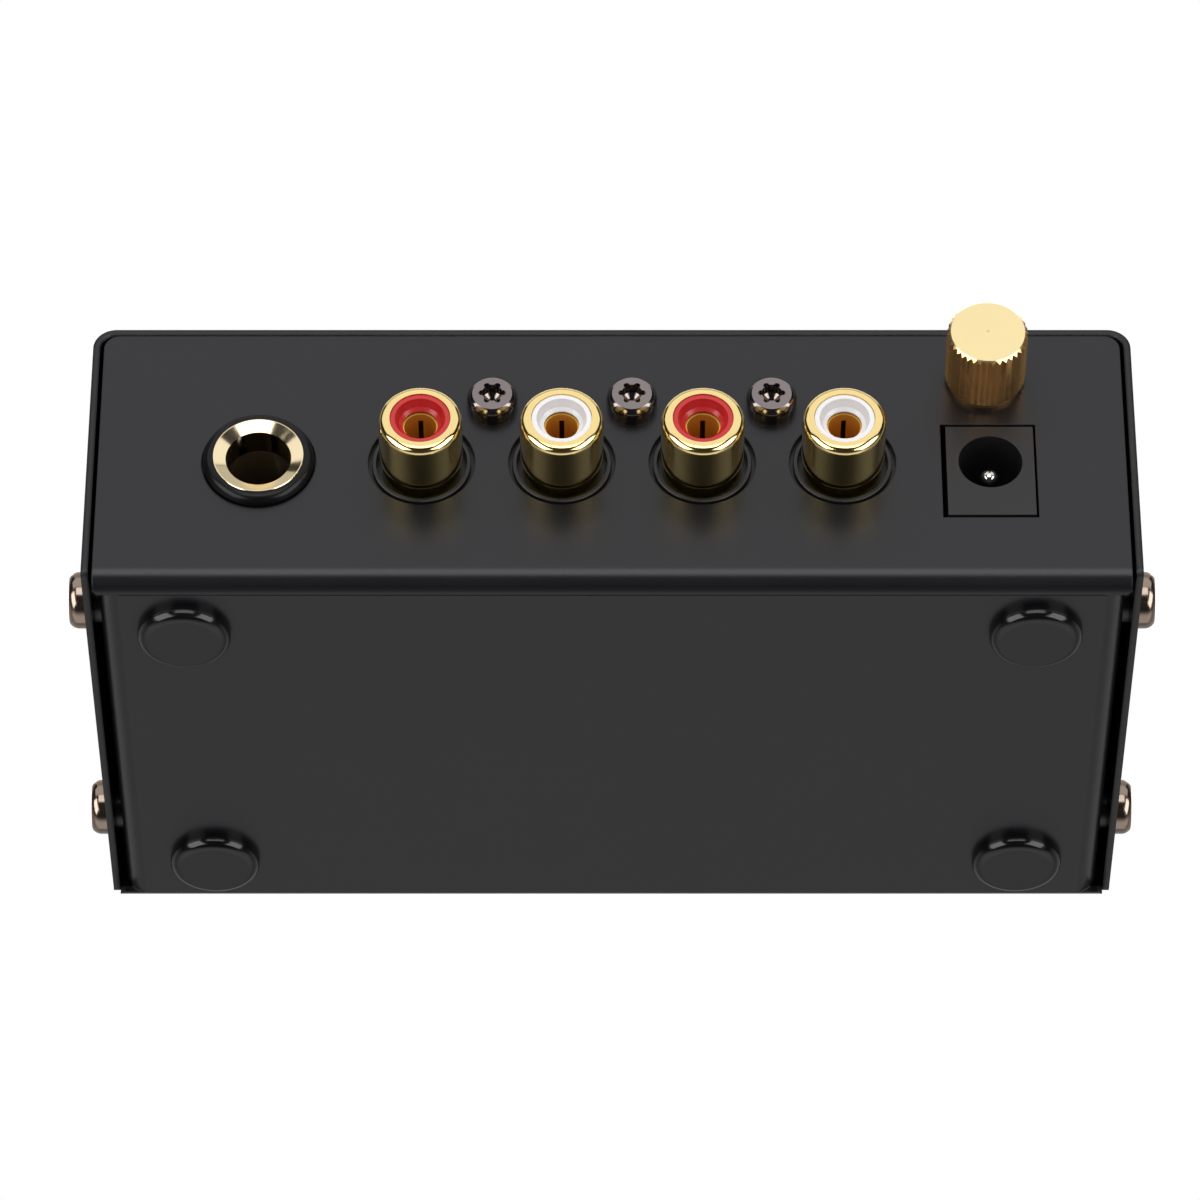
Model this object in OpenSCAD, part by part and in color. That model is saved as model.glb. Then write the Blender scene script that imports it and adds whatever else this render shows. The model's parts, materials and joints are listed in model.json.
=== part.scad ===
// Phono preamplifier in a folded sheet-metal case.
// Z is up and the case stands on four rubber feet. The connectors are on the +Y face and the
// controls on the -Y face. Left and right are as seen from the controls, so left is -X.

/* [Case] */
// Outside width of the cover
case_w = 104.8; // [104:0.1:108]
// Depth from the control panel to the connector panel
case_d = 56.6; // [56:0.1:66]
// Height from the tray's underside to the top of the cover
case_h = 31.95; // [31.5:0.05:36]
// Height of the cover's lower edges above the tray's underside
cover_lift = 1.25; // [1:0.05:1.5]
// Sheet thickness of the cover
cover_t = 0.7; // [0.65:0.05:0.75]
// Sheet thickness of the tray
tray_t = 0.8; // [0.7:0.05:0.9]
// Outside radius of the tray's folds
fold_r = 2.4; // [2:0.1:2.5]
// Outside radius of the cover's folds
cover_fold_r = 2.3; // [1.7:0.1:2.6]
// Width across the tray's side flanges
tray_w = 101.7; // [101.4:0.1:102.2]
// Width of the upright connector panel
panel_w = 102.6; // [102.4:0.1:102.8]
// Width of the upright control panel
front_w = 103.2; // [102.6:0.1:103.3]
// Height of the side flanges
flange_h = 9; // [8:0.5:10]

/* [Feet] */
// Diameter of a rubber foot
foot_dia = 9.3; // [8:0.1:10]
// Height of a rubber foot
foot_h = 1.5; // [1.2:0.1:2]

/* [Rear connectors] */
// Height of the jack axes above the tray's underside
axis_z = 15.15; // [14.75:0.1:15.75]
// Distance between neighbouring phono sockets
rca_pitch = 14; // [13.8:0.1:14.2]
// Sideways place of the middle of the row of phono sockets
rca_mid_x = -2; // [-2.5:0.1:-1.5]
// Reach of a phono socket beyond the connector panel
rca_reach = 7.2; // [6.8:0.1:7.5]
// Outside diameter of a phono socket's shell
rca_dia = 8.3; // [8.2:0.05:8.4]
// Sideways place of the headphone-size output jack
trs_x = 35.25; // [35:0.05:35.5]
// Sideways place of the power inlet
dc_x = -37.75; // [-37.95:0.05:-37.55]
// Height of the power inlet's axis
dc_z = 15.25; // [15.15:0.1:15.35]
// Sideways place of the ground terminal
ground_x = -37.5; // [-37.8:0.1:-37.2]
// Height of the ground terminal
ground_z = 25.6; // [25.25:0.05:25.85]
// Diameter over the teeth of the ground thumb nut
ground_nut_dia = 8.1; // [7.8:0.1:8.4]
// Length of the ground thumb nut
ground_nut_l = 7.2; // [7:0.1:7.6]

/* [Front controls] */
// Sideways place of the level control
level_x = 4; // [2:0.5:6]
// Sideways place of the volume control
volume_x = 32; // [30:0.5:34]
// Sideways place of the power button
button_x = -38; // [-39:0.5:-37]
// Sideways place of the power lamp
led_x = -26; // [-28:0.5:-25]
// Diameter of a knob
knob_dia = 14; // [13.6:0.1:14.4]
// Reach of a knob's face beyond the control panel
knob_reach = 10; // [9.5:0.1:10.3]
// Diameter of the power button
button_dia = 7.2; // [6.8:0.1:7.6]
// Reach of the power button beyond the control panel
button_reach = 4.5; // [4:0.1:5]

/* [Hidden] */
$fn = 64;

// Places that follow from the driving sizes.
eps = 0.01;
washer_t = 0.5;
rear_reach = washer_t + ground_nut_l;
case_y = (knob_reach - rear_reach) / 2;
rear_y = case_d / 2;
rear_in = rear_y - tray_t;
front_y = -rear_y;
front_in = -rear_in;
panel_top = case_h - cover_t - 0.12;
shoulder_y = rear_y - 0.6 * fold_r;

// Sockets of the rear panel.
rca_x = [for (i = [0 : 3]) rca_mid_x + (i - 1.5) * rca_pitch];
rca_r = rca_dia / 2;
rca_hole_r = 5.33;
rca_bore_r = 3.02;
rca_pin_r = 1.75;
rca_back = 8.5;
rca_barrel_r = rca_r - 0.2;
rca_leg_dx = 4.2;
rca_leg_y = rear_in - 13.1;
rca_screw_z = axis_z + 7.2;
rca_screw_x = [for (i = [0 : 2]) rca_mid_x + (i - 1) * rca_pitch];
trs_nose_r = 5.55;
trs_nose_reach = 1.1;
trs_plug_r = 3.28;
trs_cone_z = 0.58;
trs_bore_l = 23;
trs_mouth_r = 4.55;
trs_sleeve_r = 3.73;
trs_sleeve_l = 2.45;
trs_step = 0.32;
trs_body_w = 15.6;
trs_body_h = 14.2;
trs_body_l = 25.5;
trs_leg_x = 6.2;
trs_leg_y = [6, 12, 22];
dc_w = 8.75;
dc_h = 11;
dc_body_l = 14.2;
dc_bore_r = 3.2;
dc_bore_l = 9.2;
dc_face_t = 3.4;
dc_pin_r = 1;
dc_shank_r = 0.75;
dc_pin_back = 1.8;
dc_spring_leg = [3.2, 9];
dc_pin_leg_y = 13.9;
dc_cut = [9.5, 11.6];
dc_cut_centre = [-37.6, dc_z - 1.2];
dc_set_back = 0.1;

// Circuit board.
jack_axis_h = 6.5;
board_t = 1.6;
board_top = axis_z - jack_axis_h;
board_bottom = board_top - board_t;
board_w = 97.2;
board_d = 54;
board_hole = [46, 23];
leg_below = board_t + 1.4;
leg_w = 0.7;
leg_hole_r = 0.75;
standoff_r = 2.5;

// Screws of 3 mm thread.
screw_r = 1.45;
screw_hole_r = 1.6;
tapped_r = 1.5;
recess_depth = 1.2;
recess_point = 0.4;
recess_lobe_r = 0.31;
recess_lobe_at = 1.06;
cover_screw_z = 5.45;
cover_screw_inset = 10;
collar_r = 2.3;

// Ground terminal.
stud_r = 1.5;
stud_out = 6.3;
lug_t = 0.5;
wire_x = ground_x + 6;
wire_drop_y = 8;

// Controls.
shaft_r = 3;
bushing_r = 3.5;
bushing_out = 3.7;
knob_gap = 0.5;
pot_size = [10, 7, 12];
pot_leg_dx = [-2.5, 0, 2.5];
pot_leg_y = 6.2;
pot_washer_t = 0.5;
wiper_r = 4.2;
shaft_back = tray_t + 5;
shaft_out = 8.3;
shaft_flat = 1.5;

// Line inlaid in a knob: width, depth, start, and what runs down the side.
line_w = 1;
line_depth = 0.4;
line_start = 1.6;
line_side = 0.7;
line_l = 4;

// Power switch and lamp.
button_r = button_dia / 2;
button_travel = 2.5;
switch_y = front_in + 7.2;
post_w = 3;
post_l = 14;
post_y = front_y + 0.5;
switch_leg_dx = [-2.5, 2.5];
switch_leg_dy = [10, 14, 18];
led_r = 1.5;
led_flange_r = 1.9;
led_back = 4;
led_leg_dx = [-1.27, 1.27];
led_leg_w = 0.5;

// ---- Helpers -------------------------------------------------------------------------------

// Moves children from the case's frame, whose zero is under the middle of the tray.
module in_case() {
    translate([0, case_y, foot_h]) children();
}

// Children stand on the connector panel's outside, with their +Z pointing out of it.
module at_rear(x, z) {
    in_case() translate([x, rear_y, z]) rotate([-90, 0, 0]) children();
}

// Children stand on the control panel's outside, with their +Z pointing out of it.
module at_front(x, z) {
    in_case() translate([x, front_y, z]) rotate([90, 0, 0]) children();
}

// A box from its lowest corner and size, in the case's frame.
module box_at(corner, size) {
    translate(corner) cube(size);
}

// Round cutter that passes a panel standing at zero.
module drill(r) {
    translate([0, 0, -5]) cylinder(r = r, h = 10);
}

// Half profile of a disc whose upper outer edge is rounded.
module lip_profile(r, h, edge_r) {
    intersection() {
        square([r, h]);
        union() {
            square([r - edge_r, h]);
            square([r, h - edge_r]);
            translate([r - edge_r, h - edge_r]) circle(edge_r);
        }
    }
}

// One quarter of a fold seen from its end.
module fold_quarter(r, t) {
    intersection() {
        difference() {
            circle(r);
            circle(r - t);
        }
        square(r);
    }
}

// U of folded sheet, open at the top, as a flat profile.
module u_profile(w, h, t, r) {
    translate([r - w / 2, 0]) square([w - 2 * r, t]);
    for (side = [0, 1]) {
        mirror([side, 0]) {
            translate([w / 2 - t, r]) square([t, h - r]);
            translate([w / 2 - r, r]) rotate(-90) fold_quarter(r, t);
        }
    }
}

// Six-lobed driver recess, as a flat outline.
module star_outline() {
    circle(recess_lobe_at - 0.04);
    for (a = [0 : 60 : 300]) {
        rotate(a) translate([recess_lobe_at, 0]) circle(recess_lobe_r, $fn = 24);
    }
}

// Pan-headed screw with its head's seat at zero and its shank below. The top is a low dome with a
// round edge, and the driver recess ends in a blunt point.
module pan_screw(head_r, head_h, shank_l) {
    dome_r = 5 * head_r;
    edge_r = 0.55 * head_h;
    difference() {
        rotate_extrude() {
            intersection() {
                translate([0, head_h - dome_r]) circle(dome_r, $fn = 128);
                lip_profile(head_r, head_h, edge_r);
            }
        }
        translate([0, 0, head_h - recess_depth]) linear_extrude(recess_depth + 1) star_outline();
        translate([0, 0, head_h - recess_depth - recess_point]) {
            cylinder(r1 = 0.45, r2 = 0.98, h = recess_point + eps);
        }
    }
    translate([0, 0, -shank_l]) cylinder(r = screw_r, h = shank_l + eps);
}

// Round bar with straight teeth along it and turned chamfers at its ends.
module toothed_bar(r, depth, count, h, chamfer, base_chamfer = 0) {
    over = 0.2;
    start = 45 / count;
    base = base_chamfer > 0
        ? [[r - base_chamfer, 0], [r + over, base_chamfer + over]]
        : [[r + over, 0]];
    intersection() {
        linear_extrude(h) {
            polygon([for (i = [0 : 2 * count - 1])
                let (a = start + i * 180 / count, tip = i % 2 == 0 ? r : r - depth)
                [tip * cos(a), tip * sin(a)]]);
        }
        rotate_extrude() {
            polygon(concat([[0, 0]], base, [[r + over, h - chamfer - over], [r - chamfer, h], [0, h]]));
        }
    }
}

// ---- Case ----------------------------------------------------------------------------------

// Places of the four cover screws: children stand on a side wall's outside, +Z outward.
module at_cover_screws() {
    for (side = [0, 1]) {
        mirror([side, 0, 0]) {
            for (y = [front_y + cover_screw_inset, rear_y - cover_screw_inset]) {
                in_case() translate([case_w / 2, y, cover_screw_z]) rotate([0, 90, 0]) children();
            }
        }
    }
}

// Openings of the connector panel.
module rear_openings() {
    for (x = rca_x) {
        at_rear(x, axis_z) drill(rca_hole_r);
    }
    for (x = rca_screw_x) {
        at_rear(x, rca_screw_z) drill(screw_hole_r);
    }
    at_rear(trs_x, axis_z) drill(trs_nose_r + 0.15);
    at_rear(ground_x, ground_z) drill(stud_r + 0.1);
    at_rear(dc_cut_centre.x, dc_cut_centre.y) cube([dc_cut.x, dc_cut.y, 10], center = true);
}

// Openings of the control panel.
module front_openings() {
    for (x = [level_x, volume_x]) {
        at_front(x, axis_z) drill(bushing_r + 0.1);
    }
    at_front(button_x, axis_z) drill(button_r + 0.35);
    at_front(led_x, axis_z) drill(led_r + 0.1);
}

// Upright panel with its two upper corners rounded inside the cover's folds.
module panel_outline(w, low) {
    corner_r = cover_fold_r - cover_t;
    x = w / 2 - corner_r;
    z = panel_top - corner_r;
    translate([-w / 2, low]) square([w, z - low]);
    translate([-x, low]) square([2 * x, panel_top - low]);
    for (side = [-1, 1]) {
        translate([side * x, z]) circle(corner_r);
    }
}

// Half of the floor with the fold to one panel. Its sides are cut back from the panel's width to
// that of the side flanges, and clear the folds of the flanges.
module floor_half(w, low, run) {
    step = (w - tray_w) / 2;
    outline = [[0, -1], [0, shoulder_y - step], [step, shoulder_y], [2, shoulder_y], [2, -1]];
    difference() {
        rotate([90, 0, 90]) linear_extrude(w, center = true) intersection() {
            u_profile(case_d, low, tray_t, fold_r);
            translate([-eps, 0]) square(case_d);
        }
        for (side = [0, 1]) {
            mirror([side, 0, 0]) translate([tray_w / 2, 0, -1]) {
                linear_extrude(fold_r + 1) polygon(outline);
                translate([0.3 - fold_r, -1, 0]) cube([fold_r + 1, run + 1, fold_r + 1]);
            }
        }
    }
}

// Tray: floor, two upright panels, low side flanges with tapped collars.
module chassis() {
    side_run = shoulder_y - (panel_w - tray_w) / 2;
    panel_z = fold_r + 0.5;
    wall_gap = case_w / 2 - cover_t - tray_w / 2;
    color("dimgray") difference() {
        union() {
            in_case() rotate([90, 0, 0]) linear_extrude(2 * side_run, center = true) {
                u_profile(tray_w, flange_h, tray_t, fold_r);
            }
            in_case() floor_half(panel_w, panel_z, side_run);
            in_case() mirror([0, 1, 0]) floor_half(front_w, panel_z, side_run);
            in_case() translate([0, rear_y, 0]) rotate([90, 0, 0]) linear_extrude(tray_t) {
                panel_outline(panel_w, panel_z);
            }
            in_case() translate([0, front_in, 0]) rotate([90, 0, 0]) linear_extrude(tray_t) {
                panel_outline(front_w, panel_z);
            }
            at_cover_screws() translate([0, 0, -cover_t - wall_gap - tray_t]) {
                cylinder(r = collar_r, h = wall_gap + tray_t);
            }
        }
        at_cover_screws() drill(tapped_r);
        rear_openings();
        front_openings();
    }
}

// What rounds off the lower corner of both side walls, from the corner at zero.
module cover_corner(r) {
    rotate([90, 0, 90]) linear_extrude(case_w + 2, center = true) difference() {
        translate([-1, -1]) square(r + 1);
        translate([r, r]) circle(r);
    }
}

// Cover: top and two side walls of thinner sheet.
module cover() {
    color("dimgray") difference() {
        in_case() translate([0, 0, case_h]) rotate([-90, 0, 0]) {
            linear_extrude(case_d, center = true) {
                u_profile(case_w, case_h - cover_lift, cover_t, cover_fold_r);
            }
        }
        for (side = [0, 1]) {
            mirror([0, side, 0]) translate([0, 2 * side * -case_y, 0]) in_case() {
                translate([0, front_y, cover_lift]) cover_corner(0.7);
            }
        }
        at_cover_screws() drill(screw_hole_r);
    }
}

module cover_screws() {
    color("rosybrown") at_cover_screws() pan_screw(2.9, 2, 3.9);
}

// Rubber foot, stuck to the floor by its flat back.
module foot(x, from_rear) {
    color("black") in_case() translate([x, rear_y - from_rear, 0]) rotate([180, 0, 0]) {
        rotate_extrude() lip_profile(foot_dia / 2, foot_h, 1);
    }
}

module foot_rear_left() foot(-42.1, 8);
module foot_rear_right() foot(42.5, 8);
module foot_front_left() foot(-42.2, 48.2);
module foot_front_right() foot(41.3, 48.2);

// ---- Circuit board -------------------------------------------------------------------------

// Children stand on the board's top at the four corner holes.
module at_board_holes(z) {
    for (x = [-board_hole.x, board_hole.x], y = [-board_hole.y, board_hole.y]) {
        in_case() translate([x, y, z]) children();
    }
}

// Places of the soldered legs, as seen from above.
leg_places = concat(
    [for (x = rca_x) [x, rca_leg_y]],
    [for (x = rca_x) [x + rca_leg_dx, rca_leg_y]],
    [for (side = [-1, 1], y = trs_leg_y) [trs_x + side * trs_leg_x, y]],
    [[dc_x, rear_in - dc_pin_leg_y], [dc_x + dc_spring_leg.x, rear_in - dc_spring_leg.y]],
    [for (p = [level_x, volume_x], dx = pot_leg_dx) [p + dx, front_in + pot_leg_y]],
    [for (dx = switch_leg_dx, dy = switch_leg_dy) [button_x + dx, front_in + dy]],
    [for (dx = led_leg_dx) [led_x + dx, front_in + led_back + 0.2]],
    [[wire_x, wire_drop_y]]
);

module main_board() {
    color("darkgreen") difference() {
        in_case() box_at([-board_w / 2, -board_d / 2, board_bottom], [board_w, board_d, board_t]);
        at_board_holes(board_bottom - 1) cylinder(r = screw_hole_r, h = board_t + 2);
        for (p = leg_places) {
            in_case() translate([p.x, p.y, board_bottom - 1]) {
                cylinder(r = leg_hole_r, h = board_t + 2, $fn = 24);
            }
        }
    }
}

// A square leg from a height above the board down through it.
module leg(x, y, above) {
    in_case() translate([x, y, board_top + (above - leg_below) / 2]) {
        cube([leg_w, leg_w, leg_below + above], center = true);
    }
}

module board_standoffs() {
    color("silver") difference() {
        at_board_holes(tray_t) cylinder(r = standoff_r, h = board_bottom - tray_t);
        at_board_holes(tray_t) translate([0, 0, 1]) cylinder(r = tapped_r, h = 10);
    }
}

module board_screws() {
    color("silver") at_board_holes(board_top) pan_screw(2.4, 1.8, 4.5);
}

// ---- Phono sockets -------------------------------------------------------------------------

// Moulded block that carries the four sockets behind the panel.
module rca_block() {
    block_w = 3 * rca_pitch + 13.6;
    block_h = 18;
    block_d = 11.5;
    collar_out = 0.05;
    recess_r = 4.55;
    recess_l = 1.4;
    slot = [1.8, 1.2];
    rib_gap = 2.4;
    color("black") difference() {
        union() {
            in_case() box_at([rca_mid_x - block_w / 2, rear_in - block_d, board_top],
                             [block_w, block_d, block_h]);
            for (x = rca_x) {
                at_rear(x, axis_z) translate([0, 0, -3]) {
                    rotate_extrude() lip_profile(rca_hole_r - 0.38, 3 - collar_out, 0.15);
                }
            }
        }
        for (x = rca_x) {
            at_rear(x, axis_z) {
                translate([0, 0, -recess_l]) cylinder(r = recess_r, h = recess_l + 2);
                translate([0, 0, -rca_back - 0.5]) cylinder(r = rca_barrel_r + 0.02, h = rca_back + 2);
                translate([-slot.x / 2, -slot.y / 2, -block_d - 2]) cube([slot.x, slot.y, 8]);
                translate([rca_leg_dx - slot.x / 2, 0.9, -block_d - 2]) cube([slot.x, slot.y, 10]);
            }
        }
        for (x = rca_screw_x) {
            at_rear(x, rca_screw_z) translate([0, 0, -9]) cylinder(r = tapped_r, h = 12);
            in_case() box_at([x - rib_gap / 2, rear_in - block_d - 1, board_top - 1],
                             [rib_gap, block_d - 1.6, block_h / 2]);
        }
    }
}

module rca_screws() {
    color("gray") {
        for (x = rca_screw_x) {
            at_rear(x, rca_screw_z) pan_screw(2.55, 2.05, 7);
        }
    }
}

// Turned shell with a round rim, and a groove near the panel where its narrower barrel starts.
module rca_shell(x) {
    rim_r = 0.8;
    groove = [0.45, 0.3];
    groove_z = 0.85;
    tail = [1.2, 0.5];
    tail_z = -rca_back - 5.2;
    tail_x = rca_leg_dx - tail.x / 2;
    color("gold") {
        at_rear(x, axis_z) difference() {
            rotate_extrude() difference() {
                union() {
                    translate([0, groove_z]) lip_profile(rca_r, rca_reach - groove_z, rim_r);
                    translate([0, -rca_back]) square([rca_barrel_r, rca_back + rca_reach / 2]);
                }
                translate([rca_r - groove.x, groove_z]) square([1, groove.y]);
            }
            translate([0, 0, 0.9 - rca_back]) cylinder(r = rca_bore_r, h = 20);
            translate([0, 0, -rca_back - 1]) cylinder(r = rca_pin_r + 0.6, h = 4);
        }
        at_rear(x, axis_z) translate([tail_x, 1.2, tail_z]) cube([tail.x, tail.y, 5.6]);
        at_rear(x, axis_z) translate([tail_x, 1.2, tail_z]) cube([tail.x, jack_axis_h - 1.25, tail.y]);
        leg(x + rca_leg_dx, rca_leg_y, 0.5);
    }
}

// Moulded insulator with a funnel mouth and room for the contact to spread.
module rca_insulator(x, tint) {
    front_z = rca_reach - 0.12;
    mouth_z = rca_reach - 1.2;
    back_z = 1.1 - rca_back;
    seat_z = 4.5 - rca_back;
    lip_z = mouth_z - 0.3;
    inside_r = 2;
    room_r = 2.5;
    color(tint) at_rear(x, axis_z) rotate_extrude() {
        polygon([
            [rca_pin_r, mouth_z], [2.12, mouth_z + 0.25], [2.38, front_z - 0.3], [2.5, front_z],
            [rca_bore_r - 0.08, front_z], [rca_bore_r - 0.02, front_z - 0.06],
            [rca_bore_r - 0.02, back_z], [inside_r, back_z], [inside_r, seat_z],
            [room_r, seat_z], [room_r, lip_z], [rca_pin_r, lip_z]
        ]);
    }
}

// Split spring contact with a tail to the board.
module rca_contact(x) {
    contact_r = 1.95;
    bore_r = 1.6;
    front_z = rca_reach - 1.53;
    back_z = 2 - rca_back;
    slit = 0.5;
    tail = [1.2, 0.5];
    tail_z = -13.9;
    color("goldenrod") {
        at_rear(x, axis_z) difference() {
            translate([0, 0, back_z]) cylinder(r = contact_r, h = front_z - back_z);
            translate([0, 0, back_z + 1]) cylinder(r = bore_r, h = 20);
            translate([-slit / 2, -3, back_z + 3]) cube([slit, 3, front_z - back_z - 4]);
        }
        at_rear(x, axis_z) translate([-tail.x / 2, -tail.y / 2, tail_z]) cube([tail.x, tail.y, 7.5]);
        at_rear(x, axis_z) translate([-tail.x / 2, -tail.y / 2, tail_z]) {
            cube([tail.x, jack_axis_h - 0.4, tail.y]);
        }
        leg(x, rca_leg_y, 1);
    }
}

module input_left_shell() rca_shell(rca_x[0]);
module input_right_shell() rca_shell(rca_x[1]);
module output_left_shell() rca_shell(rca_x[2]);
module output_right_shell() rca_shell(rca_x[3]);
module input_left_insulator() rca_insulator(rca_x[0], "white");
module input_right_insulator() rca_insulator(rca_x[1], "crimson");
module output_left_insulator() rca_insulator(rca_x[2], "white");
module output_right_insulator() rca_insulator(rca_x[3], "crimson");
module input_left_contact() rca_contact(rca_x[0]);
module input_right_contact() rca_contact(rca_x[1]);
module output_left_contact() rca_contact(rca_x[2]);
module output_right_contact() rca_contact(rca_x[3]);

// ---- Output jack ---------------------------------------------------------------------------

module trs_housing() {
    window = [4.2, 2.4];
    window_x = 4.9;
    channel_w = 1.8;
    color("black") difference() {
        union() {
            in_case() box_at([trs_x - trs_body_w / 2, rear_in - trs_body_l, board_top],
                             [trs_body_w, trs_body_l, trs_body_h]);
            at_rear(trs_x, axis_z) translate([0, 0, -1.5]) {
                rotate_extrude() lip_profile(trs_nose_r, 1.5 + trs_nose_reach, 0.9);
            }
        }
        at_rear(trs_x, axis_z) {
            translate([0, 0, trs_step - 0.02]) cylinder(r = trs_mouth_r + 0.02, h = 4);
            translate([0, 0, -trs_sleeve_l - 0.05]) cylinder(r = trs_sleeve_r + 0.02, h = 6);
            translate([0, 0, -trs_bore_l]) cylinder(r = trs_plug_r, h = trs_bore_l + 5);
            for (side = [-1, 1]) {
                translate([side * window_x, 0, -14.5]) cube([window.x, window.y, 19], center = true);
            }
        }
        for (side = [-1, 1]) {
            in_case() box_at([trs_x + side * trs_leg_x - channel_w / 2, rear_in - 23, board_top - 1],
                             [channel_w, 19.5, 6.5]);
        }
    }
}

// Flared eyelet that lines the jack's mouth.
module trs_ring() {
    rim_z = trs_nose_reach + 0.04;
    color("gold") at_rear(trs_x, axis_z) rotate_extrude() {
        polygon([
            [trs_plug_r, -trs_sleeve_l], [trs_plug_r, trs_cone_z], [trs_mouth_r - 0.13, rim_z],
            [trs_mouth_r - 0.05, rim_z], [trs_mouth_r, rim_z - 0.06], [trs_mouth_r, trs_step],
            [trs_sleeve_r, trs_step], [trs_sleeve_r, -trs_sleeve_l]
        ]);
    }
}

// Leaf springs that touch the plug's ring, tip and sleeve, with their legs.
module trs_springs() {
    strips = [[-1, 5.7, 13], [-1, 15, 22.5], [1, 5.7, 22.5]];
    strip_t = 0.5;
    leaf = [0.4, 5, 1.6];
    leaf_x = 5;
    leaf_angle = 28;
    color("silver") {
        for (strip = strips) {
            in_case() box_at([trs_x + strip[0] * trs_leg_x - strip_t / 2, strip[1], axis_z - 1],
                             [strip_t, strip[2] - strip[1], 2]);
            in_case() translate([trs_x + strip[0] * leaf_x, (strip[1] + strip[2]) / 2, axis_z]) {
                rotate([0, 0, strip[0] * leaf_angle]) cube(leaf, center = true);
            }
        }
        for (side = [-1, 1], y = trs_leg_y) {
            leg(trs_x + side * trs_leg_x, y, jack_axis_h - 1);
        }
    }
}

// ---- Power inlet ---------------------------------------------------------------------------

module dc_housing() {
    face_y = rear_y - dc_set_back;
    barrel_r = 4.3;
    base_h = 6.4;
    color("black") difference() {
        union() {
            in_case() box_at([dc_x - dc_w / 2, face_y - dc_face_t, board_top], [dc_w, dc_face_t, dc_h]);
            in_case() box_at([dc_x - dc_w / 2, face_y - dc_body_l, board_top], [dc_w, dc_body_l, base_h]);
            at_rear(dc_x, dc_z) translate([0, 0, -dc_set_back - dc_body_l]) {
                cylinder(r = barrel_r, h = dc_body_l - 1);
            }
        }
        at_rear(dc_x, dc_z) translate([0, 0, -dc_set_back - dc_bore_l]) cylinder(r = dc_bore_r, h = 20);
        at_rear(dc_x, dc_z) translate([0, 0, -20]) cylinder(r = dc_shank_r, h = 20);
        at_rear(dc_x, dc_z) translate([-1, 2.6, -12]) cube([4.6, 1.6, 8.2]);
        in_case() box_at([dc_x + 2.6, rear_in - 9.8, board_top - 1], [1.2, 1.6, 4.4]);
        in_case() box_at([dc_x - 0.6, rear_in - 14.6, board_top - 1], [1.2, 1.2, 7.6]);
    }
}

// Centre pin with a round tip, a shoulder on the bore's floor and its leg behind the housing.
module dc_pin() {
    tip_z = -dc_set_back - dc_pin_back;
    tail_z = rear_in - rear_y - 14.2;
    shoulder_z = -dc_set_back - dc_bore_l;
    color("silver") {
        at_rear(dc_x, dc_z) rotate_extrude() {
            intersection() {
                union() {
                    translate([0, tail_z]) square([dc_shank_r, shoulder_z - tail_z + eps]);
                    translate([0, shoulder_z]) square([dc_pin_r, tip_z - dc_pin_r - shoulder_z]);
                    translate([0, tip_z - dc_pin_r]) circle(dc_pin_r);
                }
                translate([0, tail_z]) square([2, 20]);
            }
        }
        leg(dc_x, rear_in - dc_pin_leg_y, dc_z - board_top);
    }
}

// Side spring that touches the plug's barrel.
module dc_spring() {
    strip_w = 1.2;
    strip_t = 0.4;
    color("silver") {
        at_rear(dc_x, dc_z) translate([-strip_w / 2, 3.3, -11.5]) cube([strip_w, strip_t, 7.5]);
        at_rear(dc_x, dc_z) translate([-strip_w / 2, 3.3, -10.3]) cube([4.15, strip_t, 0.9]);
        leg(dc_x + dc_spring_leg.x, rear_in - dc_spring_leg.y, 3.3);
    }
}

// ---- Ground terminal -----------------------------------------------------------------------

module ground_stud() {
    stud_in = 5.5;
    color("gold") at_rear(ground_x, ground_z) {
        translate([0, 0, -stud_in]) cylinder(r = stud_r, h = stud_in + stud_out);
    }
}

module ground_lug() {
    lug_w = 2.4;
    lug_l = 6.8;
    color("silver") at_rear(ground_x, ground_z) translate([0, 0, -tray_t - lug_t]) difference() {
        union() {
            cylinder(r = 3, h = lug_t);
            translate([0, -lug_w / 2, 0]) cube([lug_l, lug_w, lug_t]);
        }
        translate([0, 0, -1]) cylinder(r = stud_r + 0.02, h = 3);
    }
}

module ground_inner_nut() {
    nut_t = 2.4;
    color("gold") at_rear(ground_x, ground_z) translate([0, 0, -tray_t - lug_t - nut_t]) difference() {
        cylinder(r = 3.1, h = nut_t, $fn = 6);
        translate([0, 0, -1]) cylinder(r = stud_r + 0.02, h = 5);
    }
}

// Insulated wire from the lug to the board: two straight runs and one bend.
module ground_wire() {
    wire_r = 0.65;
    bend_r = 4;
    run_y = rear_in - lug_t - 0.02;
    color("green") {
        in_case() translate([wire_x, run_y, ground_z]) rotate([90, 0, 0]) {
            cylinder(r = wire_r, h = run_y - wire_drop_y - bend_r);
        }
        in_case() translate([wire_x, wire_drop_y + bend_r, ground_z - bend_r]) rotate([0, -90, 0]) {
            rotate([0, 0, -90]) intersection() {
                rotate_extrude() translate([bend_r, 0]) circle(wire_r);
                translate([0, 0, -1]) cube([6, 6, 2]);
            }
        }
        in_case() translate([wire_x, wire_drop_y, board_bottom]) {
            cylinder(r = wire_r, h = ground_z - bend_r - board_bottom);
        }
    }
}

module ground_washer() {
    color("gold") at_rear(ground_x, ground_z) difference() {
        cylinder(r = 3.7, h = washer_t);
        translate([0, 0, -1]) cylinder(r = stud_r + 0.05, h = 3);
    }
}

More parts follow.
